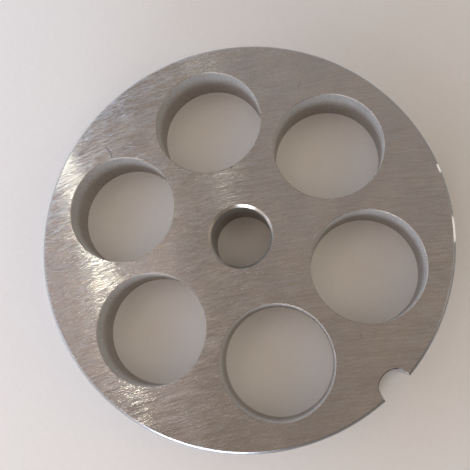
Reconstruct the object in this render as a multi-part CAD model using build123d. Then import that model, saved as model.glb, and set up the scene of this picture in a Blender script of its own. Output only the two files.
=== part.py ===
from build123d import *
from math import sqrt
import os

# Meat grinder plate, one piece of steel: a turned disc with a bore for the
# worm's pin, one ring of large cutting holes and a key notch in the rim.
# The origin is on the bore's axis at the lower face, +Z is up out of the
# cutting face, and the key notch opens towards -Y. Both faces are alike.

# ---- sizes, millimetres and degrees --------------------------------------
OUTER_DIAMETER = 82.0          # rim, seats in the grinder's ring
THICKNESS = 9.8                # face to face, both faces ground flat
RIM_CHAMFER = 0.5              # turned on both edges of the rim

BORE_DIAMETER = 12.0           # runs on the worm's pin
BORE_CHAMFER = 0.5             # turned on both ends of the bore

HOLE_COUNT = 6                 # cutting holes, drilled straight through
HOLE_DIAMETER = 21.9
HOLE_CIRCLE_DIAMETER = 50.5    # circle that the hole centres lie on
HOLE_CLOCKING = 0.7            # turn of the ring of holes off the notch
HOLE_EDGE_BREAK = 0.12         # left by grinding, just short of sharp

NOTCH_DEPTH = 3.55             # from the rim to the middle of its floor
NOTCH_MOUTH_WIDTH = 6.6        # across the corners in the rim
NOTCH_FLOOR_WIDTH = 5.4        # where the flared sides meet the floor
NOTCH_FLOOR_RADIUS = 3.8       # the floor is hollow
NOTCH_CORNER_RADIUS = 0.4      # blend of the sides into the floor
NOTCH_EDGE_BREAK = 0.15        # round the notch on both faces

# ---- what follows from the sizes -----------------------------------------
outer_radius = OUTER_DIAMETER / 2
bore_radius = BORE_DIAMETER / 2
hole_radius = HOLE_DIAMETER / 2
hole_circle_radius = HOLE_CIRCLE_DIAMETER / 2
hole_pitch_angle = 360 / HOLE_COUNT
# A gap between two holes faces the notch, so the first hole lies half a
# pitch round from -Y.
first_hole_angle = -90 + hole_pitch_angle / 2 + HOLE_CLOCKING

floor_half = NOTCH_FLOOR_WIDTH / 2
mouth_half = NOTCH_MOUTH_WIDTH / 2
floor_y = -(outer_radius - NOTCH_DEPTH)
floor_corner_y = floor_y - (
    NOTCH_FLOOR_RADIUS - sqrt(NOTCH_FLOOR_RADIUS**2 - floor_half**2)
)
mouth_y = -sqrt(outer_radius**2 - mouth_half**2)
# The cutter runs on past the rim along the same flare.
flare = (mouth_half - floor_half) / (floor_corner_y - mouth_y)
run_out = NOTCH_DEPTH
outer_half = mouth_half + flare * run_out
outer_y = mouth_y - run_out

with BuildPart() as plate:
    # Turned blank: half the section, from the bore out to the rim, with the
    # chamfers of the rim and the bore on both faces, spun round the axis.
    with BuildSketch(Plane.XZ):
        with BuildLine():
            Polyline(
                (bore_radius + BORE_CHAMFER, 0),
                (outer_radius - RIM_CHAMFER, 0),
                (outer_radius, RIM_CHAMFER),
                (outer_radius, THICKNESS - RIM_CHAMFER),
                (outer_radius - RIM_CHAMFER, THICKNESS),
                (bore_radius + BORE_CHAMFER, THICKNESS),
                (bore_radius, THICKNESS - BORE_CHAMFER),
                (bore_radius, BORE_CHAMFER),
                close=True,
            )
        make_face()
    revolve(axis=Axis.Z)

    # Cutting holes: one drilling, patterned round the axis, with its edges
    # broken on both faces.
    with PolarLocations(
        hole_circle_radius, HOLE_COUNT, start_angle=first_hole_angle
    ):
        Hole(radius=hole_radius)
    hole_rims = plate.edges(Select.LAST).filter_by(GeomType.CIRCLE)
    chamfer(hole_rims, length=HOLE_EDGE_BREAK)

    # Key notch: flared sides that blend into a hollow floor, milled through
    # the rim from face to face after turning, so it cuts the rim's chamfers.
    with BuildSketch(Plane.XY):
        with BuildLine():
            floor = ThreePointArc(
                (-floor_half, floor_corner_y),
                (0, floor_y),
                (floor_half, floor_corner_y),
            )
            Polyline(
                floor @ 1,
                (outer_half, outer_y),
                (-outer_half, outer_y),
                floor @ 0,
            )
        notch = make_face()
        fillet(notch.vertices().group_by(Axis.Y)[-1], NOTCH_CORNER_RADIUS)
    extrude(amount=THICKNESS, mode=Mode.SUBTRACT)
    notch_edges = plate.edges(Select.LAST).filter_by(
        lambda edge: (edge @ 0.5).Y < 0 and abs((edge @ 0.5).X) < mouth_half
    )
    by_height = notch_edges.group_by(Axis.Z)
    chamfer(by_height[0] + by_height[-1], length=NOTCH_EDGE_BREAK)

plate.part.label = "grinder_plate"

os.makedirs("parts", exist_ok=True)
export_step(plate.part, "parts/grinder_plate.step")
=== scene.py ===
import math

import bpy
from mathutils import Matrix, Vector

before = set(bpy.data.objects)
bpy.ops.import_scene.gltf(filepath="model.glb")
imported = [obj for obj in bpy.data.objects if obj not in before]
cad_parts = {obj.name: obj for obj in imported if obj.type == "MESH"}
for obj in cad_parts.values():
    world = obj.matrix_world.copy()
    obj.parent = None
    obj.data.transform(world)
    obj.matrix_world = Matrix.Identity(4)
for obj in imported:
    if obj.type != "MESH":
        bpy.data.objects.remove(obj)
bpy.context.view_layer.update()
bpy.ops.object.select_all(action="DESELECT")

# ---- Camera ---------------------------------------------------------------
# A hand-held camera looks almost straight down on the plate, from 12 cm
# above it and a little to the notch's side.
camera_data = bpy.data.cameras.new("overhead_camera")
camera_data.sensor_width = 36.0
camera_data.lens = 44.09
camera_data.clip_start = 0.005
overhead_camera = bpy.data.objects.new("overhead_camera", camera_data)
overhead_camera.location = (-0.006347, -0.024355, 0.120735)
overhead_camera.rotation_euler = (0.194200, 0.123763, -0.784002)
bpy.context.scene.collection.objects.link(overhead_camera)
bpy.context.scene.camera = overhead_camera
bpy.context.scene.view_settings.view_transform = "Standard"

# ---- Light ----------------------------------------------------------------
# The plate lies in a plain room with a soft ceiling, a pale far wall and four
# windows. Small lamps overhead come back from its grinding lines as streaks.
# Behind everything hangs pale grey paper, painted a little darker to the right
# as painted shade.
TO_THE_RIGHT = (0.719, -0.695, 0.0)  # level directions in the main view
TO_THE_TOP = (0.695, 0.719, 0.0)
CEILING_GLOW = (0.362, 0.277, 0.215)
FAR_WALL_GLOW = (0.244, 0.242, 0.259)
PAPER_LIGHT = (0.70, 0.68, 0.67, 1)
# the paper's right side, darker as painted shade
PAPER_PAINTED_SHADE = (0.36, 0.33, 0.30, 1)
PAPER_TOP = 0.5  # how high up the steel still mirrors the paper, 0 to 1
HORIZON_BLUR = 0.1
LAMP_YELLOW = (1.0, 0.974, 0.795)


class Finish:
    """A value that varies over a surface; sums with it add shader nodes."""

    def __init__(self, tree, socket=None):
        self.tree = tree
        self.socket = socket

    def node(self, kind, settings, inputs, output=0):
        made = self.tree.nodes.new("ShaderNode" + kind)
        for name, value in settings.items():
            setattr(made, name, value)
        for name, value in inputs.items():
            if isinstance(value, Finish):
                self.tree.links.new(value.socket, made.inputs[name])
            else:
                made.inputs[name].default_value = value
        return Finish(self.tree, made.outputs[output])

    def feeds(self, shader, name):
        self.tree.links.new(self.socket, shader.inputs[name])

    def math(self, operation, *others):
        return self.node("Math", {"operation": operation},
                         dict(enumerate((self, *others))))

    def __add__(self, other):
        return self.math("ADD", other)

    __radd__ = __add__

    def __sub__(self, other):
        return self.math("SUBTRACT", other)

    def __rsub__(self, other):
        return self.node("Math", {"operation": "SUBTRACT"},
                         {0: other, 1: self})

    def __mul__(self, other):
        return self.math("MULTIPLY", other)

    __rmul__ = __mul__

    def __truediv__(self, other):
        return self.math("DIVIDE", other)

    def __abs__(self):
        return self.math("ABSOLUTE")

    def over(self, low, high):
        """0 below low, 1 above high, and a smooth rise between them."""
        return self.node("MapRange", {"interpolation_type": "SMOOTHSTEP"},
                         {"Value": self, "From Min": low, "From Max": high})

    def between(self, low_colour, high_colour):
        """The first colour where this is 0, and the second where it is 1."""
        return self.node("Mix", {"data_type": "RGBA"},
                         {0: self, 6: low_colour, 7: high_colour}, 2)

    def vector(self, operation, *others, output="Vector"):
        return self.node("VectorMath", {"operation": operation},
                         dict(enumerate((self, *others))), output)

    def times(self, colour):
        """A colour or vector, made as strong as this is."""
        return self.node("VectorMath", {"operation": "SCALE"},
                         {0: colour, "Scale": self})

    def parts(self, kind, names):
        """The named parts of this colour or vector."""
        return [self.node(kind, {}, {0: self}, name) for name in names]


def paper(direction):
    """The paper's colour, seen in one direction, with painted shade to the
    right.
    """
    rightness = direction.vector("DOT_PRODUCT", TO_THE_RIGHT, output="Value")
    return rightness.over(-1.0, 1.0).between(PAPER_LIGHT, PAPER_PAINTED_SHADE)


world = bpy.data.worlds.new("soft_room")
bpy.context.scene.world = world
world.use_nodes = True
air = Finish(world.node_tree)
by_eye = air.node("LightPath", {}, {}, "Is Camera Ray")
by_steel = air.node("LightPath", {}, {}, "Is Glossy Ray")
ray = air.node("TexCoord", {}, {}, "Generated")
upward = air.node("SeparateXYZ", {}, {0: ray}, "Z")
topward = ray.vector("DOT_PRODUCT", TO_THE_TOP, output="Value")
ceiling = abs(upward).times(CEILING_GLOW)
far_wall = topward.math("MAXIMUM", 0.0).times(FAR_WALL_GLOW)
mirrored = (1 - abs(upward).over(0.0, PAPER_TOP)) * by_steel
walls = ceiling.vector("ADD", far_wall).vector(
    "ADD", mirrored.times(paper(ray)))
# there is only paper to the eye, and below the horizon
under = (0 - upward).over(0.0, HORIZON_BLUR)
room = under.math("MAXIMUM", by_eye).between(walls, paper(ray))
room.feeds(world.node_tree.nodes["Background"], "Color")


def lamp(name, direction, distance, size, watts, colour):
    """A flat lamp or window that faces the plate, in metres and watts."""
    bulb = bpy.data.lights.new(name, "AREA")
    bulb.shape = "RECTANGLE"
    bulb.size, bulb.size_y = size
    bulb.energy = watts
    bulb.color = colour
    fitting = bpy.data.objects.new(name, bulb)
    aim = Vector(direction).normalized()
    fitting.location = aim * distance
    fitting.rotation_euler = aim.to_track_quat("Z", "Y").to_euler()
    fitting.visible_camera = False
    bpy.context.scene.collection.objects.link(fitting)


lamp("near_window", (-0.31, 0.8086, 0.40), 0.22, (0.50, 0.16),
     0.415, (0.68, 0.795, 1.0))
lamp("side_window", (-0.8659, -0.0147, 0.44), 0.25, (0.40, 0.15),
     0.255, (0.966, 0.921, 1.0))
lamp("low_window", (-0.876, -0.4267, 0.225), 0.6, (0.30, 0.12),
     1.35, (0.778, 0.844, 1.0))
lamp("high_window", (-0.3376, 0.3263, 0.8829), 0.3, (0.16, 0.16),
     0.025, (1.0, 0.80, 0.76))
lamp("room_lamp", (0.5666, -0.5477, 0.6157), 0.6, (0.45, 0.45),
     0.78, (1.0, 0.922, 0.822))
lamp("small_lamp", (-0.0853, 0.255, 0.5311), 0.595, (0.014, 0.014),
     0.042, LAMP_YELLOW)
lamp("side_lamp", (-0.1412, 0.1444, 0.5311), 0.568, (0.014, 0.014),
     0.010, LAMP_YELLOW)
lamp("far_lamp", (0.2032, 0.4335, 0.8523), 0.977, (0.06, 0.06),
     0.0167, (1.0, 0.97, 0.808))

# ---- Floor ----------------------------------------------------------------
# The plate lies on a plain white board with a dull, faintly grained skin.
# Further out the board fades into the paper, which glows and is painted darker
# to the right as painted shade. It can be seen through from below and across
# the thin gap under the plate, and isn't part of the object.
BOARD_SIZE = 3.0
BOARD_DROP = 0.00004  # keeps the board's face out of the plate's own plane
BOARD_GRAIN = 900.0  # dots to a metre
BOARD_DARK = (0.81, 0.795, 0.755, 1)
BOARD_PALE = (0.86, 0.845, 0.805, 1)
BOARD_ROUGHNESS = 0.6
FADE_START, FADE_END = 0.11, 0.40  # metres from the plate's middle
GAP_START, GAP_END = 0.0001, 0.0005  # rays this short stay within the gap
bpy.ops.mesh.primitive_plane_add(size=BOARD_SIZE,
                                 location=(0, 0, -BOARD_DROP))
floor = bpy.context.object
floor.name = "pale_board"
board = bpy.data.materials.new("pale_board")
board.use_nodes = True
skin = board.node_tree.nodes["Principled BSDF"]
card = Finish(board.node_tree)
place = card.node("TexCoord", {}, {}, "Object")
dots = card.node("TexNoise", {}, {
    "Vector": place, "Scale": BOARD_GRAIN, "Detail": 2.0, "Roughness": 0.6})
level_place = place.vector("MULTIPLY", (1.0, 1.0, 0.0))
far = level_place.vector("LENGTH", output="Value")
looked_at = (card.node("LightPath", {}, {}, "Is Camera Ray")
             + card.node("LightPath", {}, {}, "Is Glossy Ray"))
faded = far.over(FADE_START, FADE_END) * looked_at
# the far board glows with the paper and its painted shade
backdrop = faded.times(paper(level_place.vector("NORMALIZE")))
pale = (1 - faded).times(dots.between(BOARD_DARK, BOARD_PALE))
clear_of_gap = card.node("LightPath", {}, {}, "Ray Length").over(
    GAP_START, GAP_END)
from_above = 1 - card.node("NewGeometry", {}, {}, "Backfacing")
pale.feeds(skin, "Base Color")
backdrop.feeds(skin, "Emission Color")
(clear_of_gap * from_above).feeds(skin, "Alpha")
skin.inputs["Emission Strength"].default_value = 1.0
skin.inputs["Roughness"].default_value = BOARD_ROUGHNESS
floor.data.materials.append(board)

# ---- Grinder plate --------------------------------------------------------
# The whole object is one disc of hardened tool steel. It is turned, drilled
# with a bore and six large cutting holes, notched in the rim, and ground flat
# on both faces by a large wheel, whose curved lines run right across it.
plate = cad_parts["grinder_plate"]
THICK = 9.8  # all sizes from here on are in millimetres
CHAMFER = 0.5
HOLES_END = (36.0, 37.0)  # the rim's own surfaces lie beyond this radius
BORE_END = (9.0, 10.0)  # and the bore's within this one
FACE_LEAN = (0.85, 0.95)  # how squarely a face looks up or down, 0 to 1
WALL_LEAN = (0.15, 0.35)

steel = bpy.data.materials.new("ground_steel")
steel.use_nodes = True
metal = steel.node_tree.nodes["Principled BSDF"]
bare = Finish(steel.node_tree)
facing = bare.node("NewGeometry", {}, {}, "Normal")
millimetres = bare.node("VectorMath", {"operation": "SCALE"}, {
    0: bare.node("TexCoord", {}, {}, "Object"), "Scale": 1000.0})
x, y, z = millimetres.parts("SeparateXYZ", "XYZ")
lean = abs(bare.node("SeparateXYZ", {}, {0: facing}, "Z"))
flat = lean.over(*FACE_LEAN)
wall = 1 - lean.over(*WALL_LEAN)
bevel = 1 - flat - wall
out = (x * x + y * y).math("SQRT")
rim_side = out.over(*HOLES_END)
bore_side = 1 - out.over(*BORE_END)
hole_side = wall * (1 - rim_side) * (1 - bore_side)
side = (z - THICK / 2).math("SIGN")  # 1 on the upper half, -1 on the lower

# grinding: the wheel's lines run round a point far outside the plate. Each
# stroke is a small facet that leans across its own line, some strokes cross
# the rest, and long fine grooves run under them all
WHEEL_X, WHEEL_Y = -148.4, -217.9
WHEEL_SWING = 264.0  # from there to the plate's middle
MIDDLE_TRAVEL = 256.8  # the plate's middle, along the wheel's path
MAIN_STROKE = (0.11, 2.8)  # width and length
RISING_STROKE = (0.12, 2.4)
FALLING_STROKE = (0.12, 1.8)
RISE_COSINE, RISE_SINE = 0.978, 0.208  # 12 degrees to one side
FALL_COSINE, FALL_SINE = 0.966, -0.259  # 15 degrees to the other
RISING_REACH = (-35.0, 30.0)  # rising strokes grow commoner along this
RISING_RARE, RISING_SHARE, RISING_GAIN = (0.80, 0.82), 0.4, 0.40
FALLING_RARE, FALLING_SHARE = (0.88, 0.90), 0.125
DULL_RARE = (0.62, 0.66)  # rarer strokes than this are dull
STROKE_LEAN, STROKE_TWIST = 0.08, 0.06
GROOVE = (0.10, 16.0)  # spacing and length
GROOVE_FOLDS, GROOVE_LEAN = 7.0, 0.15
FINE_LINE, FINE_DEPTH = (0.10, 7.0), 0.005
COARSE_LINE, COARSE_DEPTH = (0.32, 14.0), 0.008
wheel_x = x * side - WHEEL_X
wheel_y = y - WHEEL_Y
swing = (wheel_x * wheel_x + wheel_y * wheel_y).math("SQRT")
travel = wheel_y.math("ARCTAN2", wheel_x) * WHEEL_SWING


def strokes(across, along, width, length, seed):
    """How far each stroke leans, -1 to 1, and how rare it is, 0 to 1."""
    spot = bare.node("CombineXYZ", {}, {
        "X": across / width + seed, "Y": along / length})
    cell = bare.node("TexVoronoi", {"voronoi_dimensions": "2D"},
                     {"Vector": spot, "Scale": 1.0}, "Color")
    red, green, blue = cell.parts("SeparateColor", ("Red", "Green", "Blue"))
    return red + green - 1, blue


def crossing(cosine, sine, width, length, seed):
    """Strokes turned away from the wheel's own path."""
    return strokes(swing * cosine + travel * sine,
                   travel * cosine - swing * sine, width, length, seed)


def among(rare, share):
    """How rare a stroke is within the rarest share of its own kind."""
    return rare / share - (1 / share - 1)


def noise(spot, scale, detail, roughness):
    return bare.node("TexNoise", {}, {
        "Vector": spot, "Scale": scale, "Detail": detail,
        "Roughness": roughness})


def lines(spacing, length, seed, detail=1.0):
    """Lines along the wheel's path."""
    spot = bare.node("CombineXYZ", {}, {
        "X": swing / spacing, "Y": travel / length, "Z": seed})
    return noise(spot, 1.0, detail, 0.55)


main_tilt, rare = strokes(swing, travel, *MAIN_STROKE, side * 31)
rise_tilt, rise_rare = crossing(RISE_COSINE, RISE_SINE, *RISING_STROKE,
                                side * 57)
fall_tilt, fall_rare = crossing(FALL_COSINE, FALL_SINE, *FALLING_STROKE,
                                side * 83)
commoner = (travel - MIDDLE_TRAVEL).over(*RISING_REACH) * RISING_GAIN
rising = rise_rare.over(*(bound - commoner for bound in RISING_RARE))
falling = fall_rare.over(*FALLING_RARE)
rareness = rare + (among(rise_rare, RISING_SHARE) - rare) * rising
rareness = rareness + (among(fall_rare, FALLING_SHARE) - rareness) * falling
dull = rareness.over(*DULL_RARE) * flat
tilt = main_tilt + (rise_tilt - main_tilt) * rising
tilt = (tilt + (fall_tilt - tilt) * falling) * STROKE_LEAN
groove = (lines(*GROOVE, side * 31, 0.0) * GROOVE_FOLDS).math("PINGPONG", 1.0)
tilt_out = tilt + (groove * 2 - 1) * GROOVE_LEAN
tilt_round = (rare - 0.5) * tilt_out * STROKE_TWIST
tilt_x = (tilt_out * wheel_x - tilt_round * wheel_y) / swing * side * flat
tilt_y = (tilt_out * wheel_y + tilt_round * wheel_x) / swing * flat
fine = lines(*FINE_LINE, side * 3.1)
coarse = lines(*COARSE_LINE, side * 5.7)
ground = (fine * FINE_DEPTH + coarse * COARSE_DEPTH) * flat

# wear: the chamfers are rounded over, and two dings turn the rim's upper
# chamfer up, each with its angle and half the width of its bottom and mouth
RIM_ROUNDING, BORE_ROUNDING = 0.5, 0.15
DINGS = ((-0.470, 0.010, 0.026), (-0.773, 0.035, 0.070))  # radians
DING_TURN = (0.15, -2.1, 5.8)
UPPER_CHAMFER = (THICK / 2, THICK - 0.4)
worn = abs(z - THICK / 2).over(THICK / 2 - CHAMFER, THICK / 2)
soften = ((worn * rim_side + (worn - 1) * bore_side * BORE_ROUNDING)
          * bevel * side * RIM_ROUNDING)
swung = y.math("ARCTAN2", x)
ding_and_painted_glint = (sum(1 - abs(swung - angle).over(bottom, mouth)
            for angle, bottom, mouth in DINGS)
        * bevel * rim_side * z.over(*UPPER_CHAMFER))
turn_x, turn_y, turn_z = DING_TURN
leaning = facing.vector("ADD", bare.node("CombineXYZ", {}, {
    "X": tilt_x + ding_and_painted_glint * turn_x, "Y": tilt_y + ding_and_painted_glint * turn_y,
    "Z": soften + ding_and_painted_glint * turn_z})).vector("NORMALIZE")

# turning and drilling: close rings round the rim, the bore and the holes,
# and torn grains just under the holes' top edge
RING_LENGTH, RING_SPACING, RING_DEPTH = 9.0, 0.16, 0.020
GRIT_SCALE, GRIT_DEPTH, TORN_DEPTH = 3.6, 0.02, 0.09
TORN_HEIGHT = (4.5, 9.0)
rings = noise(bare.node("CombineXYZ", {}, {
    "X": x / RING_LENGTH, "Y": y / RING_LENGTH, "Z": z / RING_SPACING}),
    1.0, 2.0, 0.6)
turned = rings * RING_DEPTH * (1 - flat)
grit = noise(millimetres, GRIT_SCALE, 3.0, 0.65)
torn = hole_side * z.over(*TORN_HEIGHT)
drilled = grit * (GRIT_DEPTH + torn * TORN_DEPTH) * hole_side

# the marks of use on the upper face: a bent nick, a chip and small stains,
# each from one point to another, with its width, its bow and its strength
NICKS = ((-6.32, 34.14, -6.96, 31.19, 0.30, 0.35, 1.0),
         (8.6, 11.2, 9.1, 11.6, 0.30, 0.0, 1.0))
STAINS = ((31.67, 14.12, 30.2, 13.35, 0.30, 0.0, 0.8),
          (33.5, 16.9, 33.7, 17.0, 0.40, 0.0, 1.0),
          (35.7, 14.1, 35.9, 14.2, 0.35, 0.0, 0.6),
          (38.8, 1.9, 39.0, 1.9, 0.45, 0.0, 0.5),
          (2.0, -29.7, 2.3, -29.8, 0.60, 0.0, 1.0),
          (4.3, -31.3, 4.6, -31.2, 0.60, 0.0, 0.8),
          (-32.7, 18.9, -33.4, 17.6, 0.30, 0.2, 0.7),
          (-30.2, 13.3, -31.2, 12.6, 0.30, -0.2, 0.7),
          (-33.1, 13.2, -34.0, 13.0, 0.35, 0.0, 0.6))
NICK_DEPTH = 0.02
UPPER_FACE = (THICK - 0.2, THICK - 0.1)


def mark(x0, y0, x1, y1, width, bow, strength):
    """A short dent or stain with soft edges."""
    length = math.hypot(x1 - x0, y1 - y0)
    step_x, step_y = (x1 - x0) / length, (y1 - y0) / length
    along = (x - x0) * step_x + (y - y0) * step_y
    off = (y - y0) * step_x - (x - x0) * step_y
    if bow:
        off = off - along * (length - along) * (4 * bow / length ** 2)
    beside = 1 - abs(off).over(width * 0.2, width * 0.8)
    begun = along.over(-width / 2, width / 2)
    ended = along.over(length - width / 2, length + width / 2)
    return beside * begun * (1 - ended) * strength


upper = z.over(*UPPER_FACE)
nick = sum(mark(*each) for each in NICKS) * upper
stain = sum(mark(*each) for each in STAINS) * upper
relief = ground + turned + drilled - nick * NICK_DEPTH
bump = bare.node("Bump", {}, {"Height": relief, "Strength": 1.0,
                              "Distance": 0.001, "Normal": leaning})

# colour: ground faces in two close greys with faint clouds, drilled walls
# painted darker downwards as painted shade and lighter at the head as painted
# light, and broken edges that are browner than the faces
FACE_BLUE = (0.525, 0.54, 0.565, 1)
FACE_GREY = (0.555, 0.565, 0.575, 1)
WALL_FOOT_PAINTED_SHADE = (0.39, 0.36, 0.335, 1)
WALL_HEAD_PAINTED_LIGHT = (0.60, 0.61, 0.61, 1)
EDGE_BROWN = (0.50, 0.455, 0.395, 1)
FACE_SHINE = 0.93
PATCH_SCALE, PATCH_SHINE, PATCH_EDGE = 0.11, 0.10, (0.40, 0.62)
CLOUD_SCALE, CLOUD_SHINE, LINE_SHINE = 0.45, 0.06, 0.10
WALL_FADE = (3.8, 7.6)  # heights
NOTCH_SIDE, NOTCH_FLOOR = (2.8, 3.6), (-36.5, -35.5)
NICK_SHADE, STAIN_SHADE, DULL_SHADE = 0.60, 0.28, 0.06
HOLE_EDGE_SHADE, NOTCH_EDGE_SHADE, RIM_EDGE_SHADE = 0.25, 0.75, 0.30
# the bore's walls are painted darker as painted shade
BORE_PAINTED_SHADE, GRIT_MOTTLE = 0.25, 1.5
patch = noise(millimetres, PATCH_SCALE, 3.0, 0.6)
cloud = noise(millimetres, CLOUD_SCALE, 4.0, 0.6)
rim_edge = bevel * rim_side
hole_edge = bevel * (1 - rim_side) * (1 - bore_side)
notch_edge = (rim_edge * (1 - abs(x).over(*NOTCH_SIDE))
              * (1 - y.over(*NOTCH_FLOOR)))
tone_and_painted_shading = ((FACE_SHINE + patch * PATCH_SHINE + cloud * CLOUD_SHINE
          + (coarse - 0.5) * LINE_SHINE)
         * (1 - nick * NICK_SHADE) * (1 - stain * STAIN_SHADE)
         * (1 - hole_edge * HOLE_EDGE_SHADE)
         * (1 - notch_edge * NOTCH_EDGE_SHADE)
         # the dings keep the chamfer's full brightness: worn bright metal, and
         # partly a painted glint
         * (1 - rim_edge * (1 - ding_and_painted_glint) * RIM_EDGE_SHADE)
         # painted shade: the bore's walls are darkened
         * (1 - wall * bore_side * BORE_PAINTED_SHADE) * (1 - dull * DULL_SHADE)
         * (1 + (grit - 0.5) * hole_side * GRIT_MOTTLE))
face_colour = patch.over(*PATCH_EDGE).between(FACE_BLUE, FACE_GREY)
# painted shade low on the drilled walls, painted light near their top
wall_painted_light_and_shade = z.over(*WALL_FADE).between(WALL_FOOT_PAINTED_SHADE, WALL_HEAD_PAINTED_LIGHT)
cut_colour = (wall * (1 - rim_side)).between(face_colour, wall_painted_light_and_shade)
colour_and_painted_shade = (bevel * (1 - rim_side)).between(cut_colour, EDGE_BROWN)

# gloss: bright lines and dull strokes on the faces, and rougher walls
LINE_ROUGH, CLOUD_ROUGH, DULL_ROUGH, NICK_ROUGH = 0.085, 0.03, 0.205, 0.3
WALL_ROUGH, HOLE_ROUGH = 0.24, 0.18
EDGE_ROUGH, HOLE_EDGE_ROUGH = 0.18, 0.22
HOLE_DULLING = 0.30
rough = (LINE_ROUGH + cloud * CLOUD_ROUGH + dull * DULL_ROUGH
         + wall * WALL_ROUGH + hole_side * HOLE_ROUGH + nick * NICK_ROUGH
         + bevel * EDGE_ROUGH + hole_edge * HOLE_EDGE_ROUGH)
tone_and_painted_shading.times(colour_and_painted_shade).feeds(metal, "Base Color")
(1 - hole_side * HOLE_DULLING).feeds(metal, "Metallic")
rough.feeds(metal, "Roughness")
bump.feeds(metal, "Normal")
plate.material_slots[0].material = steel
